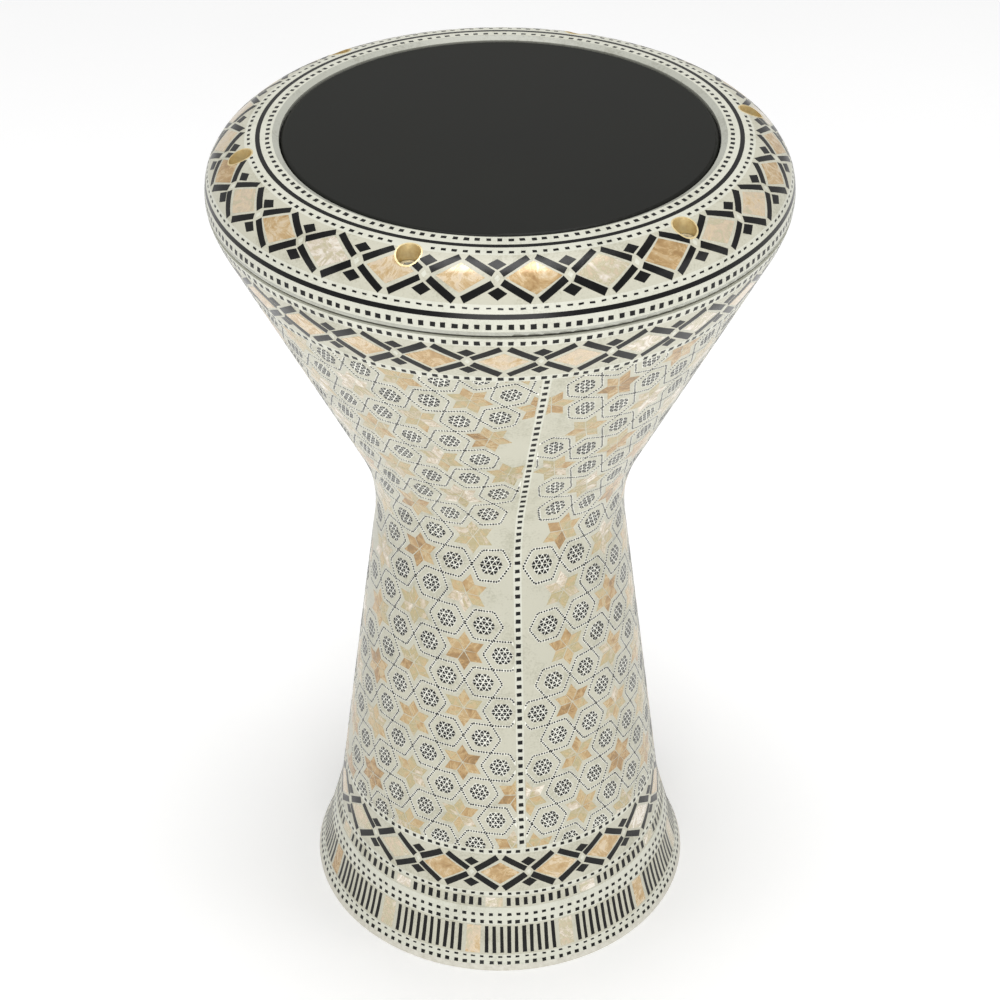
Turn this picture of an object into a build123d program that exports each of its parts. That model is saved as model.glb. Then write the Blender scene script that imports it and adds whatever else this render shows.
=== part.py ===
from build123d import *
import math
import os

# Goblet drum (darbuka). A goblet cast in two parts, a bowl and a stem joined at the throat, stands on
# its foot rim and is open from foot to head. Its skin is resin inlaid with mother-of-pearl. A film head
# lies over the bearing edge, and a cast tuning ring pulls the head's hoop down with six screws.
# Millimetres. The origin is the centre of the foot rim, +Z up. Azimuth 0 faces -Y and grows towards +X.

# ---- shell: outer section from the shoulder down to the foot, as (radius, height) corners
SHOULDER = (142.0, 430.6)
SHOULDER_BEND = (140.1, 424.2)
THROAT = (63.2, 266.3)
WAIST_BREAK = (91.9, 50.0)
FLARE_BREAK = (102.35, 11.5)
FOOT = (107.4, 0.0)
SHELL_RADII = [75.0, 91.0, 70.0, 110.0]
SHELL_SKIN = 2.2
SHELL_WALL = 4.5
FOOT_LIP_H = 3.5
CASTING_JOINT_Z = 262.0
RIM_ROUND = 0.7

# ---- collar and flange inside the tuning ring
FLANGE_T = 5.0
COLLAR_IN_R = 98.7
COLLAR_OUT_R = 104.2
COLLAR_TOP_Z = 460.95
BEARING_ROUND = 1.6
COLLAR_IN_ROUND = 1.2

# ---- head: film, hoop channel and the resin that locks the film in it
FILM_T = 0.3
FILM_DROP_R = COLLAR_OUT_R + 0.4
FILM_LOW_Z = 453.2
FILM_LOCK_R = 106.8
FILM_END_Z = 447.5
HOOP_IN_R = 105.0
HOOP_OUT_R = 109.8
HOOP_LOW_Z = 445.5
HOOP_TOP_Z = 452.0
HOOP_IN_TOP_Z = 451.4
HOOP_WALL = 0.8
HOOP_FILL_Z = 451.0

# ---- tuning ring: outer section from the inner bevel to the bottom edge
RING_IN_R = 105.6
RING_EDGE = (RING_IN_R, 461.25)
RING_LIP = (108.5, 462.9)
RING_TOP_BEND = (125.1, 461.2)
RING_SIDE_BEND = (142.4, 446.7)
RING_LOW_CORNER = (142.4, 431.6)
RING_LOW_END = (137.0, 431.6)
RING_RADII = [0.8, 26.0, 22.0, 2.2]
RING_SKIN = 2.0
RING_WALL = 5.0
RING_FOOT_IN_R = 107.6
RING_FOOT_OUT_R = 112.5
RING_STEP_Z = 455.0

# ---- tuning screws, their wells and bosses
SCREW_COUNT = 6
SCREW_AZIMUTH = -18.7
SCREW_CIRCLE_R = 124.5
LINER_OUT_R = 6.2
LINER_IN_R = 5.5
WELL_FLOOR_Z = 446.8
RING_BOSS_R = 9.5
RING_BOSS_LOW_Z = 442.0
RING_HOLE_R = 3.4
WASHER_T = 1.2
WASHER_OUT_R = 5.0
HEAD_R = 5.0
HEAD_H = 6.0
SHANK_R = 3.0
SHANK_L = 30.0
SOCKET_FLATS = 5.0
SOCKET_DEPTH = 3.5
TAPPED_R = SHANK_R + 0.05
SHELL_BOSS_R = 8.0
SHELL_BOSS_LOW_Z = 416.0
SCREW_CHAMFER = 0.5

# ---- inlay
INLAY_T = 1.2
DIAMOND_RISE = 7.9
PEARL_SIDE_GAP = 3.8
SEAM_STRIP_W = 4.2
SEAM_AZIMUTH = 8.6
SEAM_LEAN = 0.5

# Strips of the shell's skin, as distances down its section from the shoulder edge.
BOWL_STRIP_UPPER = (0.0, 5.0)
BOWL_BAND = (5.0, 29.1)
BOWL_STRIP_LOWER = (29.1, 33.1)
FIELD = (33.1, 373.5)
FOOT_STRIP_1 = (373.5, 377.1)
FOOT_BAND = (377.1, 401.9)
FOOT_STRIP_2 = (401.9, 404.7)
SHORT_BAR_BAND = (404.7, 412.0)
FOOT_BEAD = (412.0, 414.9)
FOOT_STRIP_3 = (414.9, 418.6)
FOOT_STRIP_4 = (418.6, 422.6)
LONG_BAR_BAND = (422.6, 441.4)
FOOT_STRIP_5 = (441.4, 443.9)
FOOT_STRIP_6 = (443.9, 452.0)

# Strips of the ring's skin, as distances along its section from the inner edge.
RING_STRIP_1 = (3.4, 9.3)
RING_LINE_INNER = (9.3, 11.5)
RING_STRIP_2 = (11.5, 16.8)
RING_BAND = (16.8, 40.4)
RING_STRIP_3 = (40.4, 44.6)
RING_LINE_OUTER = (44.6, 47.0)
RING_STRIP_4 = (47.0, 53.2)

# Diamond bands: diamonds in a turn, and the azimuth of one of them.
RING_DIAMONDS = (26, -7.5)
BOWL_DIAMONDS = (26, 0.8)
FOOT_DIAMONDS = (18, 0.0)

# Panel bands: panels in a turn, azimuth of one of them, width and height.
SHORT_BAND_PANELS = (11, -1.9, 9.5, 5.6)
LONG_BAND_PANELS = (12, -8.5, 8.3, 17.2)

FAR = 30.0
TURN = 360.0
SMALLEST_TILE = 1.0


# ---- sections, drawn with the radius as X and the height as Y
def rounded_line(corners, radii):
    """Open section line with each inner corner rounded by its own radius."""
    return FilletPolyline(*corners, radius=radii)


def region_inside(line, inner_r):
    """Face between a section line and a cylinder nearer the axis."""
    top = line @ 0
    low = line @ 1
    closing = Polyline((low.X, low.Y), (inner_r, low.Y), (inner_r, top.Y), (top.X, top.Y))
    return make_face([*line.edges(), *closing.edges()])


def inset(face, depth):
    """The same region with every side moved inwards."""
    return offset(face, amount=-depth, kind=Kind.INTERSECTION)


def block(r_low, r_high, z_low, z_high):
    """Upright rectangle in the section plane."""
    corners = [(r_low, z_low), (r_high, z_low), (r_high, z_high), (r_low, z_high)]
    return make_face(Polyline(*corners, close=True))


def beyond(end, neighbour, length):
    """Point past the end of a section line, in line with its last run."""
    direction = (Vector(*end) - Vector(*neighbour)).normalized()
    point = Vector(*end) + direction * length
    return (point.X, point.Y)


def station(line, distance):
    """Point on a section line and the unit vector square to it, away from the body."""
    point = line.position_at(distance, position_mode=PositionMode.LENGTH)
    along = line.tangent_at(distance, position_mode=PositionMode.LENGTH)
    return point, Vector(-along.Y, along.X)


def crossing_patch(line, span, reach_in, reach_out):
    """Four-sided patch that crosses the skin square to its surface between two distances."""
    start, start_out = station(line, span[0])
    end, end_out = station(line, span[1])
    corners = [
        start + start_out * reach_out,
        end + end_out * reach_out,
        end - end_out * reach_in,
        start - start_out * reach_in,
    ]
    return make_face(Polyline(*[(c.X, c.Y) for c in corners], close=True))


def turned(face, angle=TURN, start=0.0):
    """Solid of revolution of a section face about the drum's axis."""
    return Rot(0, 0, start) * revolve(Plane.XZ * face, Axis.Z, angle)


# ---- shell section
SHELL_CORNERS = [SHOULDER, SHOULDER_BEND, THROAT, WAIST_BREAK, FLARE_BREAK, FOOT]
shell_line = rounded_line(SHELL_CORNERS, SHELL_RADII)
longer_shell = [
    beyond(SHOULDER, SHOULDER_BEND, FAR),
    *SHELL_CORNERS[1:-1],
    beyond(FOOT, FLARE_BREAK, FAR),
]
shell_outer = region_inside(rounded_line(longer_shell, SHELL_RADII), -FAR)
shell_under_inlay = inset(shell_outer, INLAY_T)
shell_under_skin = inset(shell_outer, SHELL_SKIN)
shell_hollow = inset(shell_outer, SHELL_SKIN + SHELL_WALL)
shell_inlay_layer = (shell_outer - shell_under_inlay) & block(0, 200, FOOT_LIP_H, SHOULDER[1])


def shell_strip(span, reach_in=6.0):
    """Section of one strip of the shell's inlay layer."""
    return shell_inlay_layer & crossing_patch(shell_line, span, reach_in, 10.0)


# ---- ring section
ring_line = rounded_line(
    [RING_EDGE, RING_LIP, RING_TOP_BEND, RING_SIDE_BEND, RING_LOW_CORNER, RING_LOW_END], RING_RADII
)
ring_outer = region_inside(ring_line, FAR)
longer_ring = [
    beyond(RING_EDGE, RING_LIP, 12.0),
    RING_LIP,
    RING_TOP_BEND,
    RING_SIDE_BEND,
    (RING_LOW_CORNER[0], RING_LOW_CORNER[1] - FAR),
]
ring_grown = region_inside(rounded_line(longer_ring, RING_RADII[:-1]), FAR)
ring_zone = ring_outer & block(RING_IN_R, 200, 0, 500)
ring_under_inlay = inset(ring_grown, INLAY_T)
ring_under_skin = inset(ring_grown, RING_SKIN)
ring_hollow = inset(ring_grown, RING_SKIN + RING_WALL)
ring_inlay_layer = ring_zone - ring_under_inlay


def ring_strip(span):
    """Section of one strip of the ring's inlay layer."""
    return ring_inlay_layer & crossing_patch(ring_line, span, 3.5, 6.0)


# ---- screw places
def screw_azimuths():
    """Azimuths of the tuning screws."""
    return [SCREW_AZIMUTH + TURN / SCREW_COUNT * i for i in range(SCREW_COUNT)]


def at_azimuth(shape, azimuth):
    """Turn a shape that lies on the +X side round to an azimuth."""
    return Rot(0, 0, azimuth - 90.0) * shape


def pillar(radius, z_low, z_high):
    """Upright round pillar on the screw circle, on the +X side."""
    height = z_high - z_low
    return Pos(SCREW_CIRCLE_R, 0, z_low + height / 2) * Cylinder(radius, height)


def all_round(shape):
    """A shape repeated at every screw."""
    return [at_azimuth(shape, azimuth) for azimuth in screw_azimuths()]


# ---- castings
def shell_casting():
    """Goblet wall, foot lip, flange, collar with its bearing edge, and six tapped bosses, in one."""
    flange_low = SHOULDER[1] - FLANGE_T
    wall = (shell_under_skin - shell_hollow) & block(0, 200, 0, SHOULDER[1])
    lip = (shell_outer - shell_hollow) & block(0, 200, 0, FOOT_LIP_H)
    flange = shell_under_skin & block(COLLAR_IN_R, 200, flange_low, SHOULDER[1])
    collar_line = rounded_line(
        [
            (COLLAR_OUT_R, flange_low),
            (COLLAR_OUT_R, COLLAR_TOP_Z),
            (COLLAR_IN_R, COLLAR_TOP_Z),
            (COLLAR_IN_R, flange_low),
        ],
        [BEARING_ROUND, COLLAR_IN_ROUND],
    )
    closing = Line((COLLAR_IN_R, flange_low), (COLLAR_OUT_R, flange_low))
    collar = make_face([*collar_line.edges(), closing])
    casting = turned(wall + lip + flange + collar)
    rims = casting.edges().filter_by(GeomType.CIRCLE).group_by(Axis.Z)[0]
    casting = fillet(rims, RIM_ROUND)
    inside = turned(shell_under_skin & block(0, 200, SHELL_BOSS_LOW_Z - 1, SHOULDER[1]))
    bosses = [boss & inside for boss in all_round(pillar(SHELL_BOSS_R, SHELL_BOSS_LOW_Z, SHOULDER[1]))]
    casting = casting + bosses
    return casting - all_round(pillar(TAPPED_R, SHELL_BOSS_LOW_Z - 5, SHOULDER[1] + 5))


def tuning_ring_casting():
    """Bell-shaped ring with a foot that presses on the hoop, and a seat boss at each screw."""
    cavity = ring_hollow & block(RING_FOOT_OUT_R, 200, 400, 500)
    cavity = cavity + block(FAR, RING_FOOT_IN_R, 400, RING_STEP_Z)
    cavity = cavity + block(FAR, RING_FOOT_OUT_R, 400, HOOP_TOP_Z)
    solid_ring = turned((ring_zone & ring_under_skin) - cavity)
    envelope = turned(ring_zone & ring_under_skin)
    bosses = [boss & envelope for boss in all_round(pillar(RING_BOSS_R, RING_BOSS_LOW_Z, RING_LIP[1]))]
    solid_ring = solid_ring + bosses
    solid_ring = solid_ring - all_round(pillar(LINER_OUT_R, WELL_FLOOR_Z, RING_LIP[1] + 5))
    return solid_ring - all_round(pillar(RING_HOLE_R, RING_BOSS_LOW_Z - 5, WELL_FLOOR_Z + 5))


# ---- screws and what lines their wells
def well_liners():
    """Brass sleeves pressed into the wells and dressed flush with the ring's surface."""
    sleeve = pillar(LINER_OUT_R, WELL_FLOOR_Z, RING_LIP[1] + 5)
    sleeve = sleeve - pillar(LINER_IN_R, WELL_FLOOR_Z - 1, RING_LIP[1] + 6)
    envelope = turned(ring_zone, 30.0, -15.0)
    return all_round(sleeve & envelope)


def screw_washers():
    """Steel washers under the screw heads."""
    washer = pillar(WASHER_OUT_R, WELL_FLOOR_Z, WELL_FLOOR_Z + WASHER_T)
    washer = washer - pillar(RING_HOLE_R, WELL_FLOOR_Z - 1, WELL_FLOOR_Z + WASHER_T + 1)
    return all_round(washer)


def tuning_screw(azimuth):
    """Socket head cap screw: head on the washer, shank down into the shell's tapped boss."""
    seat_z = WELL_FLOOR_Z + WASHER_T
    head = chamfer(Cylinder(HEAD_R, HEAD_H).edges().group_by(Axis.Z)[-1], SCREW_CHAMFER)
    shank = chamfer(Cylinder(SHANK_R, SHANK_L).edges().group_by(Axis.Z)[0], SCREW_CHAMFER)
    socket = extrude(RegularPolygon(SOCKET_FLATS / 2, 6, major_radius=False), SOCKET_DEPTH)
    screw = Pos(0, 0, seat_z + HEAD_H / 2) * head
    screw = screw + Pos(0, 0, seat_z - SHANK_L / 2) * shank
    screw = screw - Pos(0, 0, seat_z + HEAD_H - SOCKET_DEPTH) * socket
    return at_azimuth(Pos(SCREW_CIRCLE_R, 0, 0) * screw, azimuth)


# ---- head
def drumhead_film():
    """Flat film that turns down over the bearing edge and out into the hoop."""
    half = FILM_T / 2
    film_z = COLLAR_TOP_Z + half

    def side(shift, radii):
        corners = [
            (0.0, film_z + shift),
            (FILM_DROP_R + shift, film_z + shift),
            (FILM_DROP_R + shift, FILM_LOW_Z + shift),
            (FILM_LOCK_R + shift, FILM_LOW_Z + shift),
            (FILM_LOCK_R + shift, FILM_END_Z),
        ]
        return rounded_line(corners, radii)

    upper = side(half, [2.05, 0.45, 0.75])
    lower = side(-half, [1.75, 0.75, 0.45])
    ends = [Line(upper @ 0, lower @ 0), Line(upper @ 1, lower @ 1)]
    return turned(make_face([*upper.edges(), *lower.edges(), *ends]))


def drumhead_hoop():
    """Aluminium channel, open at the top, that the film's edge drops into."""
    channel = block(HOOP_IN_R, HOOP_OUT_R, HOOP_LOW_Z, HOOP_IN_TOP_Z)
    channel = channel + block(HOOP_OUT_R - HOOP_WALL, HOOP_OUT_R, HOOP_LOW_Z, HOOP_TOP_Z)
    trough = block(HOOP_IN_R + HOOP_WALL, HOOP_OUT_R - HOOP_WALL, HOOP_LOW_Z + HOOP_WALL, HOOP_TOP_Z + 1)
    return turned(channel - trough)


def hoop_resin(film):
    """Resin cast in the channel round the film's edge."""
    fill = block(HOOP_IN_R + HOOP_WALL, HOOP_OUT_R - HOOP_WALL, HOOP_LOW_Z + HOOP_WALL, HOOP_FILL_Z)
    return turned(fill) - film


# ---- base coats
def shell_base_coat():
    """Resin coat between the casting and the inlay."""
    return turned((shell_under_inlay - shell_under_skin) & block(0, 200, FOOT_LIP_H, SHOULDER[1]))


def ring_base_coat(wells):
    """Resin coat on the ring, at full thickness on the inner bevel and the bottom edge."""
    coat = (ring_zone & ring_under_inlay) - ring_under_skin
    inlaid = crossing_patch(ring_line, (RING_STRIP_1[0], 30.0), 12.0, 12.0)
    inlaid = inlaid + crossing_patch(ring_line, (30.0, RING_STRIP_4[1]), 12.0, 12.0)
    coat = coat + (ring_inlay_layer - inlaid)
    return turned(coat) - wells


# ---- inlay tiles
def tile_prism(line, distance, outline):
    """Tile outline (across, up the section) pushed square through the skin on the +X side."""
    point, outwards = station(line, distance)
    plane = Plane(origin=(point.X, 0, point.Y), x_dir=(0, 1, 0), z_dir=(outwards.X, 0, outwards.Y))
    return extrude(plane * make_face(Polyline(*outline, close=True)), amount=5.0, both=True)


def rhombus(half_w, half_h):
    """Outline of a diamond."""
    return [(half_w, 0), (0, half_h), (-half_w, 0), (0, -half_h)]


def oblong(width, height):
    """Outline of an upright rectangle."""
    half_w = width / 2
    half_h = height / 2
    return [(-half_w, -half_h), (half_w, -half_h), (half_w, half_h), (-half_w, half_h)]


def inlaid_band(line, strip_face, span, cells, phase, outline, wells=None):
    """Pearl tiles of a band as separate solids, and the resin of the band with their pockets."""
    prism = tile_prism(line, (span[0] + span[1]) / 2, outline)
    tile = turned(strip_face, 60.0, -30.0) & prism
    azimuths = [phase + TURN / cells * i for i in range(cells)]
    tiles = [at_azimuth(tile, azimuth) for azimuth in azimuths]
    resin = turned(strip_face) - [at_azimuth(prism, azimuth) for azimuth in azimuths]
    if wells:
        tiles = [tile - wells for tile in tiles]
        resin = resin - wells
    pieces = [piece for tile in tiles for piece in tile.solids() if piece.volume > SMALLEST_TILE]
    return pieces, [piece for piece in resin.solids() if piece.volume > SMALLEST_TILE]


def diamond_band(line, strip_face, span, count_and_phase, wells=None):
    """Band of pearl diamonds."""
    count, phase = count_and_phase
    point, _ = station(line, (span[0] + span[1]) / 2)
    half_cell = TURN / count * math.radians(1) * point.X / 2
    outline = rhombus(half_cell - PEARL_SIDE_GAP, DIAMOND_RISE)
    return inlaid_band(line, strip_face, span, count, phase, outline, wells)


def panel_band(line, strip_face, span, panels):
    """Band of upright pearl panels."""
    count, phase, width, height = panels
    return inlaid_band(line, strip_face, span, count, phase, oblong(width, height))


# ---- star field
def seam_slab():
    """Upright slab on the front of the drum, where the star field's two edges meet."""
    height = 360.0
    slab = Pos(FAR + 60.0, 0, SHOULDER[1] / 2) * Box(120.0, SEAM_STRIP_W, height)
    leaning = Rot(-SEAM_LEAN, 0, 0) * (Pos(0, 0, -SHOULDER[1] / 2) * slab)
    return at_azimuth(Pos(0, 0, SHOULDER[1] / 2) * leaning, SEAM_AZIMUTH)


# ---- every piece
def shell_parts():
    """Pieces of the shell and of the head that lies on it."""
    film = drumhead_film()
    slab = seam_slab()
    field = turned(shell_strip(FIELD, reach_in=60.0))
    casting = shell_casting()
    joint = Plane.XY.offset(CASTING_JOINT_Z)
    parts = {
        "bowl_casting": split(casting, joint, keep=Keep.TOP),
        "stem_casting": split(casting, joint, keep=Keep.BOTTOM),
        "shell_base_coat": shell_base_coat(),
        "star_field_sheet": field - slab,
        "field_seam_strip": field & slab,
        "drumhead_film": film,
        "drumhead_hoop": drumhead_hoop(),
        "hoop_resin": hoop_resin(film),
        "foot_bead": turned(shell_strip(FOOT_BEAD)),
        "bowl_dot_strip_upper": turned(shell_strip(BOWL_STRIP_UPPER)),
        "bowl_dot_strip_lower": turned(shell_strip(BOWL_STRIP_LOWER)),
    }
    foot_strips = [FOOT_STRIP_1, FOOT_STRIP_2, FOOT_STRIP_3, FOOT_STRIP_4, FOOT_STRIP_5, FOOT_STRIP_6]
    for number, span in enumerate(foot_strips, 1):
        parts[f"foot_dot_strip_{number}"] = turned(shell_strip(span))
    bands = {
        "bowl": diamond_band(shell_line, shell_strip(BOWL_BAND), BOWL_BAND, BOWL_DIAMONDS),
        "foot": diamond_band(shell_line, shell_strip(FOOT_BAND), FOOT_BAND, FOOT_DIAMONDS),
        "short_bar": panel_band(shell_line, shell_strip(SHORT_BAR_BAND), SHORT_BAR_BAND, SHORT_BAND_PANELS),
        "long_bar": panel_band(shell_line, shell_strip(LONG_BAR_BAND), LONG_BAR_BAND, LONG_BAND_PANELS),
    }
    for place, (tiles, resin) in bands.items():
        parts[f"{place}_band_resin"] = resin
        parts[f"{place}_pearls"] = tiles
    return parts


def ring_parts():
    """Pieces that move with the tuning ring."""
    wells = all_round(pillar(LINER_OUT_R, RING_BOSS_LOW_Z, RING_LIP[1] + 5))
    parts = {
        "tuning_ring_casting": tuning_ring_casting(),
        "ring_base_coat": ring_base_coat(wells),
        "well_liners": well_liners(),
        "screw_washers": screw_washers(),
        "ring_black_line_inner": turned(ring_strip(RING_LINE_INNER)),
        "ring_black_line_outer": turned(ring_strip(RING_LINE_OUTER)),
        "ring_dot_strip_1": turned(ring_strip(RING_STRIP_1)),
        "ring_dot_strip_2": turned(ring_strip(RING_STRIP_2)) - wells,
        "ring_dot_strip_3": turned(ring_strip(RING_STRIP_3)),
        "ring_dot_strip_4": turned(ring_strip(RING_STRIP_4)),
    }
    tiles, resin = diamond_band(ring_line, ring_strip(RING_BAND), RING_BAND, RING_DIAMONDS, wells)
    parts["ring_band_resin"] = resin
    parts["ring_pearls"] = tiles
    return parts


def screw_parts():
    """Tuning screws, numbered anticlockwise from the front."""
    return {f"tuning_screw_{i}": tuning_screw(a) for i, a in enumerate(screw_azimuths(), 1)}


def write_node(name, shape):
    """Write one node's solids as a STEP file."""
    solids = [solid for item in (shape if isinstance(shape, list) else [shape]) for solid in item.solids()]
    node = solids[0] if len(solids) == 1 else Compound(solids)
    export_step(node, f"parts/{name}.step")


os.makedirs("parts", exist_ok=True)
for node_name, node_shape in {**shell_parts(), **ring_parts(), **screw_parts()}.items():
    write_node(node_name, node_shape)
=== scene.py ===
import math
import random

import bpy
import numpy as np
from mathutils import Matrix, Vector


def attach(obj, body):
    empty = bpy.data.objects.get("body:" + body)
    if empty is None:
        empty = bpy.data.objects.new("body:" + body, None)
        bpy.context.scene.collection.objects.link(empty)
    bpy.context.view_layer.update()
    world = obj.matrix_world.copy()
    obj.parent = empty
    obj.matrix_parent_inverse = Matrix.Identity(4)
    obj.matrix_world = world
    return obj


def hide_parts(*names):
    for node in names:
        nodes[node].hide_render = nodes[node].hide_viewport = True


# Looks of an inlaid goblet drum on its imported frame. Lengths in this script are millimetres until
# they reach a mesh. A place on the skin is (azimuth, distance along the section, lift above it).
# Azimuth 0 faces -Y and grows towards +X.

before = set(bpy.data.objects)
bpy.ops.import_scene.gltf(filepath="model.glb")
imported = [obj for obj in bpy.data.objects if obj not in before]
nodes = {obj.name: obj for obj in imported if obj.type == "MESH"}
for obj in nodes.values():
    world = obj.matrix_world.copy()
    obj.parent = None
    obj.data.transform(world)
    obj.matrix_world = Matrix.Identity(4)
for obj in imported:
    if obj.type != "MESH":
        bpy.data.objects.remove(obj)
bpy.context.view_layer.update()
rng = random.Random(20)

MM = 0.001
TURN = 2 * math.pi
GROUND_LIFT = -0.07      # resin and strips lie this far under the CAD surface
TILE_LIFT = -0.01        # inlay stands just proud of them
TILE_SUNK = -0.45
LINE_LIFT = -0.05
SKIN_DEPTH = -1.15
CELL = 3.0               # longest cell of a tile's top


# ---- sections
class Section:
    """A rounded section line, sampled so that radius, height and normal follow from a distance."""

    def __init__(self, corners, radii, step=0.25):
        points = [np.array(corners[0], float)]
        for i, radius in enumerate(radii, 1):
            here = np.array(corners[i], float)
            back = np.array(corners[i - 1], float) - here
            ahead = np.array(corners[i + 1], float) - here
            back /= np.linalg.norm(back)
            ahead /= np.linalg.norm(ahead)
            half = math.acos(float(np.clip(back @ ahead, -1, 1))) / 2
            reach = radius / math.tan(half)
            start = here + back * reach
            end = here + ahead * reach
            middle = here + (back + ahead) / np.linalg.norm(back + ahead) * radius / math.sin(half)
            a, b = start - middle, end - middle
            sweep = math.pi - 2 * half
            count = max(4, int(radius * sweep / step))
            for k in range(count + 1):
                t = k / count
                point = (math.sin((1 - t) * sweep) * a + math.sin(t * sweep) * b) / math.sin(sweep)
                points.append(middle + point)
        points.append(np.array(corners[-1], float))
        points = np.array(points)
        keep = np.r_[True, np.linalg.norm(np.diff(points, axis=0), axis=1) > 1e-6]
        points = points[keep]
        run = np.r_[0, np.cumsum(np.linalg.norm(np.diff(points, axis=0), axis=1))]
        self.length = float(run[-1])
        self.d = np.arange(0, self.length + step, step)
        self.d[-1] = self.length
        self.r = np.interp(self.d, run, points[:, 0])
        self.z = np.interp(self.d, run, points[:, 1])
        along = np.stack([np.gradient(self.r, self.d), np.gradient(self.z, self.d)], 1)
        along /= np.linalg.norm(along, axis=1)[:, None]
        self.slope = along[:, 0]
        self.nr, self.nz = -along[:, 1], along[:, 0]

    def radius(self, d):
        return np.interp(d, self.d, self.r)

    def widening(self, d):
        return np.interp(d, self.d, self.slope)

    def place(self, azimuth, d, lift):
        """Points in metres for azimuths in radians and distances and lifts in millimetres."""
        d = np.asarray(d, float)
        r = np.interp(d, self.d, self.r) + lift * np.interp(d, self.d, self.nr)
        z = np.interp(d, self.d, self.z) + lift * np.interp(d, self.d, self.nz)
        azimuth = np.asarray(azimuth, float)
        return np.stack([r * np.sin(azimuth), -r * np.cos(azimuth), z], -1) * MM


SHELL = Section(
    [(142.0, 430.6), (140.1, 424.2), (63.2, 266.3), (91.9, 50.0), (102.35, 11.5), (107.4, 0.0)],
    [75.0, 91.0, 70.0, 110.0],
)
RING = Section(
    [(105.6, 461.25), (108.5, 462.9), (125.1, 461.2), (142.4, 446.7), (142.4, 431.6), (137.0, 431.6)],
    [0.8, 26.0, 22.0, 2.2],
)


# ---- materials
def srgb(r, g, b):
    """Linear colour from a 0..255 one."""
    def one(c):
        c /= 255
        return c / 12.92 if c <= 0.04045 else ((c + 0.055) / 1.055) ** 2.4
    return (one(r), one(g), one(b), 1.0)


def new_material(name, roughness=0.3, metallic=0.0, coat=0.0, coat_roughness=0.1, specular=0.5):
    """Material with a Principled shader, its node tree and that shader."""
    mat = bpy.data.materials.new(name)
    mat.use_nodes = True
    tree = mat.node_tree
    shader = tree.nodes["Principled BSDF"]
    shader.inputs["Roughness"].default_value = roughness
    shader.inputs["Metallic"].default_value = metallic
    shader.inputs["Coat Weight"].default_value = coat
    shader.inputs["Coat Roughness"].default_value = coat_roughness
    shader.inputs["Specular IOR Level"].default_value = specular
    return mat, tree, shader


def noise(tree, scale, detail=3.0, rough=0.55, distortion=0.0):
    """Noise over the object's own coordinates, in metres."""
    coords = tree.nodes.new("ShaderNodeTexCoord")
    node = tree.nodes.new("ShaderNodeTexNoise")
    node.inputs["Scale"].default_value = scale
    node.inputs["Detail"].default_value = detail
    node.inputs["Roughness"].default_value = rough
    node.inputs["Distortion"].default_value = distortion
    tree.links.new(coords.outputs["Object"], node.inputs["Vector"])
    return node.outputs["Fac"]


def ramp(tree, source, stops):
    """Colour ramp from (position, colour) stops."""
    node = tree.nodes.new("ShaderNodeValToRGB")
    while len(node.color_ramp.elements) < len(stops):
        node.color_ramp.elements.new(0.5)
    for element, (position, colour) in zip(node.color_ramp.elements, stops):
        element.position = position
        element.color = colour
    tree.links.new(source, node.inputs["Fac"])
    return node.outputs["Color"]


def spread(tree, source, low, high):
    """A 0..1 source spread over another range."""
    node = tree.nodes.new("ShaderNodeMapRange")
    node.inputs["To Min"].default_value = low
    node.inputs["To Max"].default_value = high
    tree.links.new(source, node.inputs["Value"])
    return node.outputs["Result"]


def bump(tree, shader, source, strength, depth):
    node = tree.nodes.new("ShaderNodeBump")
    node.inputs["Strength"].default_value = strength
    node.inputs["Distance"].default_value = depth
    tree.links.new(source, node.inputs["Height"])
    tree.links.new(node.outputs["Normal"], shader.inputs["Normal"])


def tint(tree):
    """The per-tile random value that the tile pieces carry."""
    node = tree.nodes.new("ShaderNodeAttribute")
    node.attribute_name = "tint"
    return node.outputs["Fac"]


def add(tree, a, b, operation="ADD"):
    node = tree.nodes.new("ShaderNodeMath")
    node.operation = operation
    for socket, value in zip(node.inputs, (a, b)):
        if isinstance(value, (int, float)):
            socket.default_value = value
        else:
            tree.links.new(value, socket)
    return node.outputs["Value"]


def cast_resin(name, light, dark, fine=900.0):
    """Filled resin, ground back and polished: faint clouds, fine specks and tiny pits."""
    mat, tree, shader = new_material(name, roughness=0.3, specular=0.4)
    clouds = noise(tree, 60.0, 4.0, 0.6)
    specks = noise(tree, fine, 2.0, 0.6)
    both = add(tree, add(tree, clouds, 0.55, "MULTIPLY"), add(tree, specks, 0.45, "MULTIPLY"))
    colour = ramp(tree, both, [(0.36, dark), (0.5, light), (0.72, light)])
    tree.links.new(colour, shader.inputs["Base Color"])
    tree.links.new(spread(tree, clouds, 0.22, 0.42), shader.inputs["Roughness"])
    bump(tree, shader, specks, 0.12, 0.0002)
    return mat


def inlay_black():
    mat, tree, shader = new_material("black_inlay", roughness=0.2, specular=0.25)
    cloud = noise(tree, 350.0, 3.0)
    tone = add(tree, add(tree, cloud, 0.6, "MULTIPLY"), add(tree, tint(tree), 0.4, "MULTIPLY"))
    tree.links.new(
        ramp(tree, tone, [(0.3, srgb(4, 4, 4)), (0.75, srgb(13, 13, 12))]), shader.inputs["Base Color"]
    )
    tree.links.new(spread(tree, cloud, 0.14, 0.34), shader.inputs["Roughness"])
    bump(tree, shader, cloud, 0.05, 0.0001)
    return mat


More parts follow.
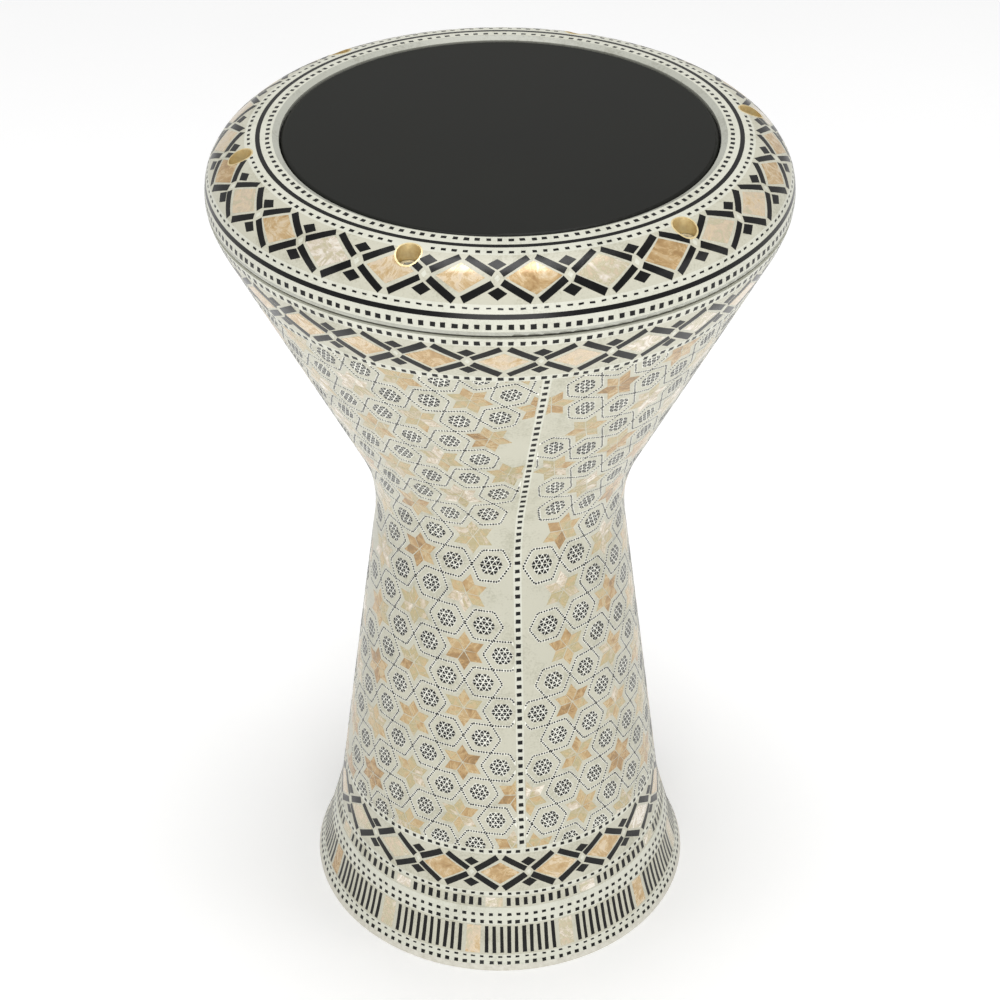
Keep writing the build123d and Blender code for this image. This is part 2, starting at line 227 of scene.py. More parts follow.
def mother_of_pearl(name, stops):
    """Shell slips: every tile has its own shade, with flowing growth lines and a soft lustre."""
    mat, tree, shader = new_material(name, roughness=0.25, coat=0.4, coat_roughness=0.1)
    flow = noise(tree, 85.0, 6.0, 0.7, 2.2)
    grain = noise(tree, 420.0, 3.0, 0.6, 0.8)
    mixed = add(tree, add(tree, flow, 1.05, "MULTIPLY"), add(tree, grain, 0.3, "MULTIPLY"))
    mixed = add(tree, mixed, add(tree, tint(tree), 0.55, "MULTIPLY"))
    mixed = add(tree, mixed, -0.44)
    tree.links.new(ramp(tree, mixed, stops), shader.inputs["Base Color"])
    tree.links.new(spread(tree, flow, 0.16, 0.38), shader.inputs["Roughness"])
    tree.links.new(spread(tree, grain, 0.15, 0.4), shader.inputs["Metallic"])
    bump(tree, shader, grain, 0.08, 0.0002)
    return mat


def cast_metal(name, light, dark, roughness, scale=260.0, strength=0.25, metallic=1.0):
    mat, tree, shader = new_material(name, roughness=roughness, metallic=metallic)
    grain = noise(tree, scale, 5.0, 0.65)
    tree.links.new(ramp(tree, grain, [(0.3, dark), (0.65, light)]), shader.inputs["Base Color"])
    tree.links.new(spread(tree, grain, roughness * 0.8, roughness * 1.25), shader.inputs["Roughness"])
    bump(tree, shader, grain, strength, 0.0004)
    return mat


def casting_with_painted_lip():
    """Bare sand-cast aluminium inside, and off-white paint on the outer side of the foot lip."""
    mat, tree, shader = new_material("cast_aluminium", roughness=0.5, metallic=1.0)
    grain = noise(tree, 300.0, 5.0, 0.65)
    coords = tree.nodes.new("ShaderNodeTexCoord")
    parts = tree.nodes.new("ShaderNodeSeparateXYZ")
    tree.links.new(coords.outputs["Object"], parts.inputs["Vector"])
    radius = add(
        tree,
        add(tree, parts.outputs["X"], parts.outputs["X"], "MULTIPLY"),
        add(tree, parts.outputs["Y"], parts.outputs["Y"], "MULTIPLY"),
    )
    low = add(tree, parts.outputs["Z"], 0.0037, "LESS_THAN")
    outer = add(tree, radius, 0.1045 ** 2, "GREATER_THAN")
    painted = add(tree, low, outer, "MULTIPLY")
    metal = ramp(tree, grain, [(0.3, (0.42, 0.42, 0.41, 1)), (0.65, (0.66, 0.66, 0.64, 1))])
    paint = ramp(tree, grain, [(0.3, srgb(190, 186, 172)), (0.6, srgb(214, 211, 199))])
    mix = tree.nodes.new("ShaderNodeMix")
    mix.data_type = "RGBA"
    tree.links.new(painted, mix.inputs["Factor"])
    tree.links.new(metal, mix.inputs["A"])
    tree.links.new(paint, mix.inputs["B"])
    tree.links.new(mix.outputs["Result"], shader.inputs["Base Color"])
    tree.links.new(spread(tree, painted, 1.0, 0.0), shader.inputs["Metallic"])
    tree.links.new(spread(tree, painted, 0.5, 0.35), shader.inputs["Roughness"])
    bump(tree, shader, grain, 0.3, 0.0004)
    return mat


def head_film():
    """Coated polyester head: dark grey, satin, with a faint grain and slight wear."""
    mat, tree, shader = new_material("film", roughness=0.4, specular=0.15)
    cloud = noise(tree, 14.0, 5.0, 0.6)
    grain = noise(tree, 1800.0, 2.0, 0.5)
    tree.links.new(
        ramp(tree, cloud, [(0.3, srgb(17, 18, 14)), (0.7, srgb(24, 25, 20))]), shader.inputs["Base Color"]
    )
    tree.links.new(spread(tree, cloud, 0.36, 0.5), shader.inputs["Roughness"])
    bump(tree, shader, grain, 0.15, 0.00008)
    return mat


GROUND = cast_resin("resin", srgb(194, 192, 175), srgb(174, 172, 153))
WHITE = cast_resin("strip_white", srgb(209, 209, 195), srgb(194, 194, 178), 1100.0)
EDGE = cast_resin("ring_edge_resin", srgb(176, 177, 166), srgb(158, 158, 146), 700.0)
LINE_WHITE = cast_resin("line_white", srgb(232, 232, 221), srgb(222, 222, 210), 1300.0)
BLACK = inlay_black()
PEARL_BAND = mother_of_pearl("pearl_band", [
    (0.14, srgb(158, 124, 78)), (0.27, srgb(184, 152, 104)), (0.38, srgb(200, 174, 132)),
    (0.48, srgb(216, 198, 168)), (0.57, srgb(206, 188, 164)), (0.66, srgb(190, 184, 152)),
    (0.76, srgb(214, 202, 184)), (0.88, srgb(236, 230, 218)),
])
PEARL_STAR = mother_of_pearl("pearl_star", [
    (0.14, srgb(142, 112, 70)), (0.28, srgb(172, 138, 90)), (0.38, srgb(184, 156, 110)),
    (0.48, srgb(196, 174, 134)), (0.58, srgb(172, 162, 120)), (0.68, srgb(190, 176, 146)),
    (0.78, srgb(206, 192, 172)), (0.9, srgb(234, 228, 214)),
])
CAST = casting_with_painted_lip()
RING_CAST = cast_metal("ring_aluminium", (0.68, 0.68, 0.66, 1), (0.46, 0.46, 0.45, 1), 0.45)
HOOP = cast_metal("hoop_aluminium", (0.76, 0.76, 0.75, 1), (0.62, 0.62, 0.61, 1), 0.3, 500.0, 0.08)
HOOP_RESIN = cast_resin("hoop_resin", srgb(198, 190, 160), srgb(176, 166, 132))
BRASS = cast_metal("brass", (0.92, 0.78, 0.46, 1), (0.8, 0.62, 0.32, 1), 0.38, 700.0, 0.12, 0.75)
STEEL = cast_metal("screw_steel", (0.9, 0.9, 0.87, 1), (0.72, 0.72, 0.7, 1), 0.3, 900.0, 0.08, 0.85)
FILM = head_film()


# ---- meshes
def make_object(name, points, faces, mat, tints=None):
    mesh = bpy.data.meshes.new(name)
    mesh.from_pydata([tuple(p) for p in points], [], faces)
    mesh.materials.append(mat)
    if tints is not None:
        layer = mesh.attributes.new("tint", "FLOAT", "POINT")
        layer.data.foreach_set("value", np.asarray(tints, np.float32))
    mesh.validate()
    obj = bpy.data.objects.new(name, mesh)
    bpy.context.scene.collection.objects.link(obj)
    return obj


def settle(obj, body, slot, *stands_for):
    """Give a piece its body and hide the CAD nodes that it stands for; slot is not used."""
    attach(obj, body)
    if stands_for:
        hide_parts(*stands_for)
    return obj


def soften(obj, angle=35.0):
    """Smooth shading with sharp edges kept."""
    mesh = obj.data
    mesh.polygons.foreach_set("use_smooth", np.ones(len(mesh.polygons), bool))
    mesh.set_sharp_from_angle(angle=math.radians(angle))


def strip_mesh(
    name, section, span, mat, turn=None, top=GROUND_LIFT, low=SKIN_DEPTH, step=2.5, around=360,
):
    """Closed strip of skin between two distances.

    turn gives both ends' azimuths along it, or None for a ring.
    """
    rows = max(1, int(math.ceil((span[1] - span[0]) / step)))
    d = np.linspace(span[0], span[1], rows + 1)
    loop_d = np.r_[d, d[::-1]]
    loop_lift = np.r_[np.full(rows + 1, top), np.full(rows + 1, low)]
    count = len(loop_d)
    if turn is None:
        fractions = np.arange(around) / around
        start, end = np.zeros(count), np.full(count, TURN)
    else:
        fractions = np.linspace(0, 1, around + 1)
        start, end = turn[0](loop_d), turn[1](loop_d)
    points = [section.place(start + (end - start) * f, loop_d, loop_lift) for f in fractions]
    points = np.concatenate(points)
    total = len(fractions)
    faces = []
    steps = total if turn is None else total - 1
    for i in range(steps):
        a, b = i * count, (i + 1) % total * count
        for k in range(count):
            n = (k + 1) % count
            faces.append((a + k, a + n, b + n, b + k))
    if turn is not None:
        last = (total - 1) * count
        for k in range(rows):
            faces.append((k, count - 1 - k, count - 2 - k, k + 1)[::-1])
            faces.append((last + k, last + count - 1 - k, last + count - 2 - k, last + k + 1))
    obj = make_object(name, points, faces, mat)
    soften(obj)
    return obj


def clipped(outline, axis, limit, keep_above):
    """Outline cut by a line of constant azimuth or distance; limit may depend on the distance."""
    def side(p):
        value = p[axis] - (limit(p[1]) if callable(limit) else limit)
        return value if keep_above else -value
    out = []
    for i, here in enumerate(outline):
        before = outline[i - 1]
        a, b = side(before), side(here)
        if (a < 0) != (b < 0):
            t = a / (a - b)
            out.append((before[0] + (here[0] - before[0]) * t, before[1] + (here[1] - before[1]) * t))
        if b >= 0:
            out.append(here)
    return out


class Inlay:
    """Many closed tiles in one mesh. An outline is a list of (azimuth, distance)."""

    def __init__(self, section):
        self.section = section
        self.points, self.faces, self.tints = [], [], []
        self.count = 0

    def tile(self, outline, top=TILE_LIFT, low=TILE_SUNK, cell=CELL, shade=None):
        if len(outline) < 3:
            return
        ground = np.array(outline, float)
        mean_r = float(self.section.radius(ground[:, 1].mean()))
        flat = np.stack([ground[:, 0] * mean_r, ground[:, 1]], 1)
        nxt = np.roll(flat, -1, axis=0)
        area = float(np.sum(flat[:, 0] * nxt[:, 1] - nxt[:, 0] * flat[:, 1]) / 2)
        if abs(area) < 0.12:
            return
        if area > 0:
            ground, flat = ground[::-1], flat[::-1]
        border = []
        for i in range(len(ground)):
            a, b = ground[i], ground[(i + 1) % len(ground)]
            gap = float(np.linalg.norm(flat[(i + 1) % len(flat)] - flat[i]))
            if gap < 1e-4:
                continue
            cuts = max(1, int(math.ceil(gap / cell)))
            border += [a + (b - a) * k / cuts for k in range(cuts)]
        border = np.array(border)
        n = len(border)
        if n < 3:
            return
        centre = border.mean(0)
        reach = float(np.max(np.hypot((border[:, 0] - centre[0]) * mean_r, border[:, 1] - centre[1])))
        rings = int(math.ceil(reach / cell)) if reach > 1.6 else 0
        base = self.count
        places = [border]
        for k in range(1, rings):
            places.append(centre + (border - centre) * (1 - k / rings))
        if rings:
            places.append(centre[None, :])
        top_places = np.concatenate(places)
        self.points.append(self.section.place(top_places[:, 0], top_places[:, 1], top))
        self.points.append(self.section.place(border[:, 0], border[:, 1], low))
        size = len(top_places)
        under = base + size
        if rings:
            for k in range(rings - 1):
                for i in range(n):
                    j = (i + 1) % n
                    self.faces.append((base + k * n + i, base + k * n + j, base + (k + 1) * n + j,
                                       base + (k + 1) * n + i))
            hub = base + size - 1
            for i in range(n):
                self.faces.append((base + (rings - 1) * n + i, base + (rings - 1) * n + (i + 1) % n, hub))
        else:
            self.faces.append(tuple(range(base, base + n)))
        for i in range(n):
            j = (i + 1) % n
            self.faces.append((base + j, base + i, under + i, under + j))
        self.faces.append(tuple(range(under + n - 1, under - 1, -1)))
        self.count += size + n
        shade = rng.random() if shade is None else shade
        self.tints.append(np.full(size + n, shade))

    def small(self, outline):
        """A tile too small to need cells or area tests."""
        border = np.array(outline, float)[::-1]
        n = len(border)
        base = self.count
        self.points.append(self.section.place(border[:, 0], border[:, 1], TILE_LIFT))
        self.points.append(self.section.place(border[:, 0], border[:, 1], TILE_SUNK))
        self.faces.append(tuple(range(base, base + n)))
        for i in range(n):
            j = (i + 1) % n
            self.faces.append((base + j, base + i, base + n + i, base + n + j))
        self.faces.append(tuple(range(base + 2 * n - 1, base + n - 1, -1)))
        self.count += 2 * n
        self.tints.append(np.full(2 * n, rng.random()))

    def build(self, name, mat):
        obj = make_object(name, np.concatenate(self.points), self.faces, mat, np.concatenate(self.tints))
        soften(obj, 30.0)
        return obj


def on_skin(section, azimuth, d, outline):
    """(azimuth, distance) outline of a flat outline in mm about a place."""
    r = float(section.radius(d))
    return [(azimuth + x / r, d + y) for x, y in outline]


def rhombus(half_w, half_h, x=0.0, y=0.0):
    return [(x - half_w, y), (x, y - half_h), (x + half_w, y), (x, y + half_h)]


def oblong(width, height, x=0.0, y=0.0):
    w, h = width / 2, height / 2
    return [(x - w, y - h), (x + w, y - h), (x + w, y + h), (x - w, y + h)]


def turned(outline, angle):
    c, s = math.cos(angle), math.sin(angle)
    return [(x * c - y * s, x * s + y * c) for x, y in outline]


def moved(outline, x, y):
    return [(px + x, py + y) for px, py in outline]


def wobble(outline, amount):
    return [(x + rng.uniform(-amount, amount), y + rng.uniform(-amount, amount)) for x, y in outline]


# ---- wells in the ring
SCREWS = [math.radians(-18.7 + 60 * i) for i in range(6)]
WELL_R = 6.2
SCREW_CIRCLE = 124.5


def well_cutter():
    """Six upright pillars where the brass liners stand."""
    points, faces = [], []
    sides = 64
    for azimuth in SCREWS:
        cx, cy = SCREW_CIRCLE * math.sin(azimuth), -SCREW_CIRCLE * math.cos(azimuth)
        base = len(points)
        for z in (445.0, 475.0):
            for k in range(sides):
                t = TURN * (k + 0.37) / sides
                points.append(((cx + WELL_R * math.cos(t)) * MM, (cy + WELL_R * math.sin(t)) * MM, z * MM))
        for k in range(sides):
            n = (k + 1) % sides
            faces.append((base + k, base + n, base + sides + n, base + sides + k))
        faces.append(tuple(range(base + sides - 1, base - 1, -1)))
        faces.append(tuple(range(base + sides, base + 2 * sides)))
    return make_object("well_cutter", points, faces, GROUND)


def cut_wells(obj, cutter):
    """Take the wells out of a piece and keep the result as its mesh."""
    modifier = obj.modifiers.new("wells", "BOOLEAN")
    modifier.operation = "DIFFERENCE"
    modifier.solver = "EXACT"
    modifier.object = cutter
    bpy.context.view_layer.update()
    done = bpy.data.meshes.new_from_object(obj.evaluated_get(bpy.context.evaluated_depsgraph_get()))
    old = obj.data
    obj.modifiers.clear()
    obj.data = done
    done.name = old.name
    bpy.data.meshes.remove(old)
    return obj


# ---- dotted strips
def dotted_row(inlay, section, count, d, width, height, phase=0.0, skip=None):
    """Row of small hand-cut squares round the drum."""
    for i in range(count):
        azimuth = phase + TURN * (i + rng.uniform(-0.06, 0.06)) / count
        if skip and skip(azimuth):
            continue
        w = width * rng.uniform(0.86, 1.12)
        h = height * rng.uniform(0.88, 1.1)
        outline = turned(wobble(oblong(w, h), 0.12), rng.uniform(-0.06, 0.06))
        outline = moved(outline, 0, rng.uniform(-0.12, 0.12))
        inlay.tile(on_skin(section, azimuth, d, outline), cell=CELL)


# ---- diamond bands
def diamond_band(section, cells, phase, d, bar_width):
    """Pearl diamonds framed by four black bars, lozenges between, laid by hand."""
    pearl, bars, white = Inlay(section), Inlay(section), Inlay(section)
    r = float(section.radius(d))
    pitch = TURN * r / cells
    half = pitch / 2
    for i in range(cells):
        azimuth = math.radians(phase) + TURN * (i + rng.uniform(-0.01, 0.01)) / cells
        fit = rng.choice([1.0, 1.0, 0.97, 0.93, 0.88])
        outline = rhombus((half - 3.7) * fit * rng.uniform(0.97, 1.02), 8.0 * fit * rng.uniform(0.96, 1.02))
        outline = moved(turned(wobble(outline, 0.25), rng.uniform(-0.03, 0.03)), rng.uniform(-0.3, 0.3), 0)
        pearl.tile(on_skin(section, azimuth, d, outline))
        for side in (1, -1):
            for rise in (1, -1):
                tip = (1.7, 10.3)
                foot = (half - 1.9, 1.9)
                run, drop = foot[0] - tip[0], tip[1] - foot[1]
                length = math.hypot(run, drop)
                width = bar_width * rng.uniform(0.92, 1.06)
                sx, sy = drop / length * width / 2, run / length * width / 2
                bar = [(tip[0] + sx, tip[1] + sy), (foot[0] + sx, foot[1] + sy),
                       (foot[0] - sx, foot[1] - sy), (tip[0] - sx, tip[1] - sy)]
                bar = [(side * x, rise * y) for x, y in bar]
                cx = sum(x for x, _ in bar) / 4
                cy = sum(y for _, y in bar) / 4
                bar = moved(turned(moved(bar, -cx, -cy), rng.uniform(-0.045, 0.045)), cx, cy)
                bar = moved(wobble(bar, 0.18), rng.uniform(-0.2, 0.2), rng.uniform(-0.2, 0.2))
                bars.tile(on_skin(section, azimuth, d, bar))
        for rise in (1, -1):
            lozenge = wobble(rhombus(4.3, 2.9, half, rise * 6.9), 0.22)
            bars.tile(on_skin(section, azimuth, d, moved(lozenge, rng.uniform(-0.3, 0.3), 0)))
        white.tile(on_skin(section, azimuth, d, wobble(rhombus(1.3, 1.8, half, 0), 0.15)), top=LINE_LIFT)
    return pearl, bars, white


# ---- bar bands
def bar_band(section, cells, phase, d, panel, count, bar, step):
    """Upright black bars in runs, with a pearl panel between two runs."""
    pearl, bars = Inlay(section), Inlay(section)
    r = float(section.radius(d))
    for i in range(cells):
        azimuth = math.radians(phase) + TURN * i / cells
        size = rng.uniform(0.94, 1.03)
        outline = wobble(oblong(panel[0] * size, panel[1] * rng.uniform(0.97, 1.0)), 0.2)
        pearl.tile(on_skin(section, azimuth, d, outline))
        middle = azimuth + math.pi / cells
        for k in range(count):
            offset = (k - (count - 1) / 2) * step + rng.uniform(-0.15, 0.15)
            width = bar[0] * rng.uniform(0.88, 1.14)
            outline = wobble(oblong(width, bar[1] * rng.uniform(0.96, 1.02)), 0.1)
            outline = turned(outline, rng.uniform(-0.02, 0.02))
            bars.tile(on_skin(section, middle + offset / r, d, outline))
    return pearl, bars


# ---- star field
FIELD = (33.1, 373.5)
STRIP_HALF = 2.1
STAR_PITCH = 34.8
COLUMN = 30.1
ROSETTE_REACH = 10.05
SEAM_D = [33.0, 60.0, 100.0, 150.0, 200.0, 375.0]
SEAM_AZ = [9.6, 9.3, 8.7, 8.1, 7.7, 7.7]


def seam(d):
    return np.radians(np.interp(d, SEAM_D, SEAM_AZ))


def upright(degrees):
    value = math.radians(degrees)
    return lambda d: value + 0 * np.asarray(d, float)


def beside(line, shift):
    """A border line shifted sideways by a distance in mm."""
    return lambda d: line(d) + shift / SHELL.radius(d)


EDGE_GAP = 4.5           # a rosette nearer than this to a sheet's edge is left out
DRIFT_D = [33.0, 150.0, 190.0, 215.0, 245.0, 275.0, 330.0, 365.0]


class Sheet:
    """A flat mosaic sheet bent round the shell between two border lines."""

    def __init__(self, number, centre, column_x, column_y, left, right, drift):
        self.number = number
        self.centre = math.radians(centre)
        self.x0, self.y0 = column_x, column_y
        self.left, self.right = left, right
        self.drift = drift
        self.left_edge = beside(left, 0.5)
        self.right_edge = beside(right, -0.5)

    def bend(self, points):
        """Flat (x, y) of the sheet as (azimuth, distance)."""
        flat = np.array(points, float)
        x, y = flat[:, 0], flat[:, 1]
        r = SHELL.radius(y)
        d = y + x * x * SHELL.widening(y) / (2 * r)
        azimuth = self.centre + (x + np.interp(d, DRIFT_D, self.drift)) / SHELL.radius(d)
        return list(zip(azimuth.tolist(), d.tolist()))

    def near(self, x, y, reach):
        """Whether something of this reach about a flat place can show between the borders."""
        azimuth, d = self.bend([(x, y)])[0]
        r = float(SHELL.radius(d))
        if d < FIELD[0] - reach or d > FIELD[1] + reach:
            return False
        gap_left = (azimuth - float(self.left_edge(d))) * r
        gap_right = (float(self.right_edge(d)) - azimuth) * r
        return gap_left > -reach and gap_right > -reach

    def whole(self, x, y, reach):
        azimuth, d = self.bend([(x, y)])[0]
        r = float(SHELL.radius(d))
        if d < FIELD[0] + reach or d > FIELD[1] - reach:
            return False
        gap_left = (azimuth - float(self.left_edge(d))) * r
        gap_right = (float(self.right_edge(d)) - azimuth) * r
        return gap_left > reach and gap_right > reach

    def at_an_edge(self, x, y):
        """True for a rosette whose middle is close to either edge of its sheet."""
        azimuth, d = self.bend([(x, y)])[0]
        radius = float(SHELL.radius(d))
        gaps = [abs(azimuth - float(edge(d))) * radius for edge in (self.left_edge, self.right_edge)]
        return min(gaps) < EDGE_GAP

    def left_plain(self, x, y):
        """Beside the front seam, from the throat down, a star the strip would cut is left out."""
        azimuth, d = self.bend([(x, y)])[0]
        gap = abs(azimuth - float(seam(d))) * float(SHELL.radius(d))
        return 150.0 < d < 318.0 and gap < 10.0

    def lay(self, inlay, outline, **how):
        bent = self.bend(outline)
        bent = clipped(bent, 1, FIELD[0] + 0.2, True)
        bent = clipped(bent, 1, FIELD[1] - 0.2, False)
        bent = clipped(bent, 0, self.left_edge, True)
        bent = clipped(bent, 0, self.right_edge, False)
        inlay.tile(bent, **how)

    def stars(self):
        for i in range(-9, 10):
            x = self.x0 + i * COLUMN
            shift = STAR_PITCH / 2 if i % 2 else 0.0
            for j in range(-3, 14):
                yield x, self.y0 + shift + j * STAR_PITCH


def lay_star(sheet, pearls, x, y):
    shade = rng.uniform(0.1, 0.9)
    spin = rng.uniform(-0.03, 0.03)
    cx, cy = x + rng.uniform(-0.25, 0.25), y + rng.uniform(-0.25, 0.25)
    for k in range(6):
        angle = math.radians(30 + 60 * k) + spin + rng.uniform(-0.02, 0.02)
        long, wide = 11.7 * rng.uniform(0.95, 1.02), 3.3 * rng.uniform(0.94, 1.03)
        petal = [(0.45, 0), (long / 2 + 0.2, -wide), (long, 0), (long / 2 + 0.2, wide)]
        petal = moved(turned(wobble(petal, 0.12), angle), cx, cy)
        sheet.lay(pearls, petal, shade=min(1.0, max(0.0, shade + rng.uniform(-0.3, 0.3))))


ROSETTE_DISC = 5.9       # white hexagon under a rosette
ROSETTES_ROUND_A_STAR = (
    (20.1, 0.0), (-20.1, 0.0), (10.05, 17.4), (-10.05, 17.4), (10.05, -17.4), (-10.05, -17.4),
)


def lay_rosette(sheet, blacks, whites, x, y):
    """Snowflake of 24 small black triangles with thin white lines between them."""
    spin = rng.uniform(-0.12, 0.12)
    side = 3.0 * rng.uniform(0.96, 1.04)
    rise = side * math.sqrt(3) / 2

    def lattice(column, row):
        return (side * (column + row / 2), rise * row)

    for column in range(-2, 2):
        for row in range(-2, 2):
            a, b = lattice(column, row), lattice(column + 1, row)
            c, e = lattice(column, row + 1), lattice(column + 1, row + 1)
            for corner_set in ((a, b, c), (b, e, c)):
                cx = sum(p[0] for p in corner_set) / 3
                cy = sum(p[1] for p in corner_set) / 3
                lean = cx * math.sqrt(3) / 2
                hexagon_reach = max(abs(cy), abs(cy / 2 + lean), abs(cy / 2 - lean))
                if hexagon_reach > 2 * rise:
                    continue
                keep = 0.72 * rng.uniform(0.88, 1.1)
                tri = [(cx + (px - cx) * keep, cy + (py - cy) * keep) for px, py in corner_set]
                sheet.lay(blacks, moved(turned(tri, spin), x, y))
    angles = [math.radians(60 * k) for k in range(6)]
    disc = [(ROSETTE_DISC * math.cos(angle), ROSETTE_DISC * math.sin(angle)) for angle in angles]
    sheet.lay(whites, moved(turned(disc, spin), x, y), top=LINE_LIFT - 0.01)


def lay_dotted_sides(sheet, dots, lines, x, y, done):
    """Dotted hexagon about a rosette; a side shared by two hexagons is laid once."""
    corners = [
        (
            x + ROSETTE_REACH * math.cos(math.radians(60 * k)),
            y + ROSETTE_REACH * math.sin(math.radians(60 * k)),
        )
        for k in range(6)
    ]
    for k in range(6):
        a, b = corners[k], corners[(k + 1) % 6]
        key = (round((a[0] + b[0]) * 2), round((a[1] + b[1]) * 2))
        if key in done:
            continue
        done.add(key)
        length = math.hypot(b[0] - a[0], b[1] - a[1])
        ux, uy = (b[0] - a[0]) / length, (b[1] - a[1]) / length
        half = 0.7
        line = [(a[0] - uy * half, a[1] + ux * half), (b[0] - uy * half, b[1] + ux * half),
                (b[0] + uy * half, b[1] - ux * half), (a[0] + uy * half, a[1] - ux * half)]
        sheet.lay(lines, line, top=LINE_LIFT, cell=2.6)
        for n in range(7):
            t = (n + 0.5) / 7 * length + rng.uniform(-0.08, 0.08)
            px = a[0] + ux * t + rng.uniform(-0.06, 0.06)
            py = a[1] + uy * t + rng.uniform(-0.06, 0.06)
            if not sheet.whole(px, py, 0.5):
                continue
            q = 0.62 * rng.uniform(0.9, 1.06)
            dot = [(px + q * math.cos(TURN * v / 5), py + q * math.sin(TURN * v / 5)) for v in range(5)]
            dots.small(sheet.bend(dot))


left_of_seam = beside(seam, -STRIP_HALF)
right_of_seam = beside(seam, STRIP_HALF)


SHEETS = [
    Sheet(1, -35.0, 0.0, 56.9, upright(-80.0), left_of_seam, [0, -0.3, -3.5, -6.5, -5.1, -2.8, 0.0, 0.3]),
    Sheet(2, 60.0, -10.5, 58.5, right_of_seam, upright(104.0), [0, 0.5, 3.0, 3.8, 1.5, 0.8, -2.0, -2.6]),
    Sheet(3, 147.0, 0.0, 48.0, upright(104.0), upright(190.0), [0, 0, 0.4, 0.9, 1.2, 0.6, 0.2, 0]),
    Sheet(4, 235.0, 0.0, 52.0, upright(190.0), upright(280.0), [0, 0, -0.5, -1.2, -1.5, -1.0, -0.4, 0]),
]


def star_field():
    for sheet in SHEETS:
        ground = strip_mesh(
            f"star_field_ground_{sheet.number}", SHELL, FIELD, GROUND,
            turn=(sheet.left, sheet.right), around=110,
        )
        settle(ground, "shell", "resin")
        pearls, blacks, whites, dots, lines = (Inlay(SHELL) for _ in range(5))
        done = set()
        rosettes = {}
        for x, y in sheet.stars():
            if sheet.near(x, y, 13.0) and not sheet.left_plain(x, y):
                lay_star(sheet, pearls, x, y)
            for dx, dy in ROSETTES_ROUND_A_STAR:
                rosettes[(round((x + dx) / 5), round((y + dy) / 5))] = (x + dx, y + dy)
        for x, y in rosettes.values():
            if not sheet.near(x, y, 11.0) or sheet.at_an_edge(x, y):
                continue
            lay_rosette(sheet, blacks, whites, x + rng.uniform(-0.2, 0.2), y + rng.uniform(-0.2, 0.2))
            lay_dotted_sides(sheet, dots, lines, x, y, done)
        n = sheet.number
        settle(pearls.build(f"stars_{n}", PEARL_STAR), "shell", "pearl")
        settle(blacks.build(f"rosettes_{n}", BLACK), "shell", "black_inlay")
        settle(whites.build(f"rosette_grounds_{n}", LINE_WHITE), "shell", "strip_white")
        settle(dots.build(f"hexagon_dots_{n}", BLACK), "shell", "black_inlay")
        settle(lines.build(f"hexagon_lines_{n}", LINE_WHITE), "shell", "strip_white")
    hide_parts("star_field_sheet")
    strip = strip_mesh("field_seam", SHELL, FIELD, WHITE, turn=(left_of_seam, right_of_seam), around=4)
    settle(strip, "shell", "strip_white", "field_seam_strip")
    squares = Inlay(SHELL)
    d = FIELD[0] + 2.2
    while d < FIELD[1] - 1.5:
        outline = turned(wobble(oblong(2.5 * rng.uniform(0.9, 1.08), 2.3 * rng.uniform(0.88, 1.1)), 0.12),
                         rng.uniform(-0.06, 0.06))
        squares.tile(on_skin(SHELL, float(seam(d)), d, outline))
        d += 5.0 + rng.uniform(-0.2, 0.2)
    settle(squares.build("field_seam_squares", BLACK), "shell", "black_inlay")


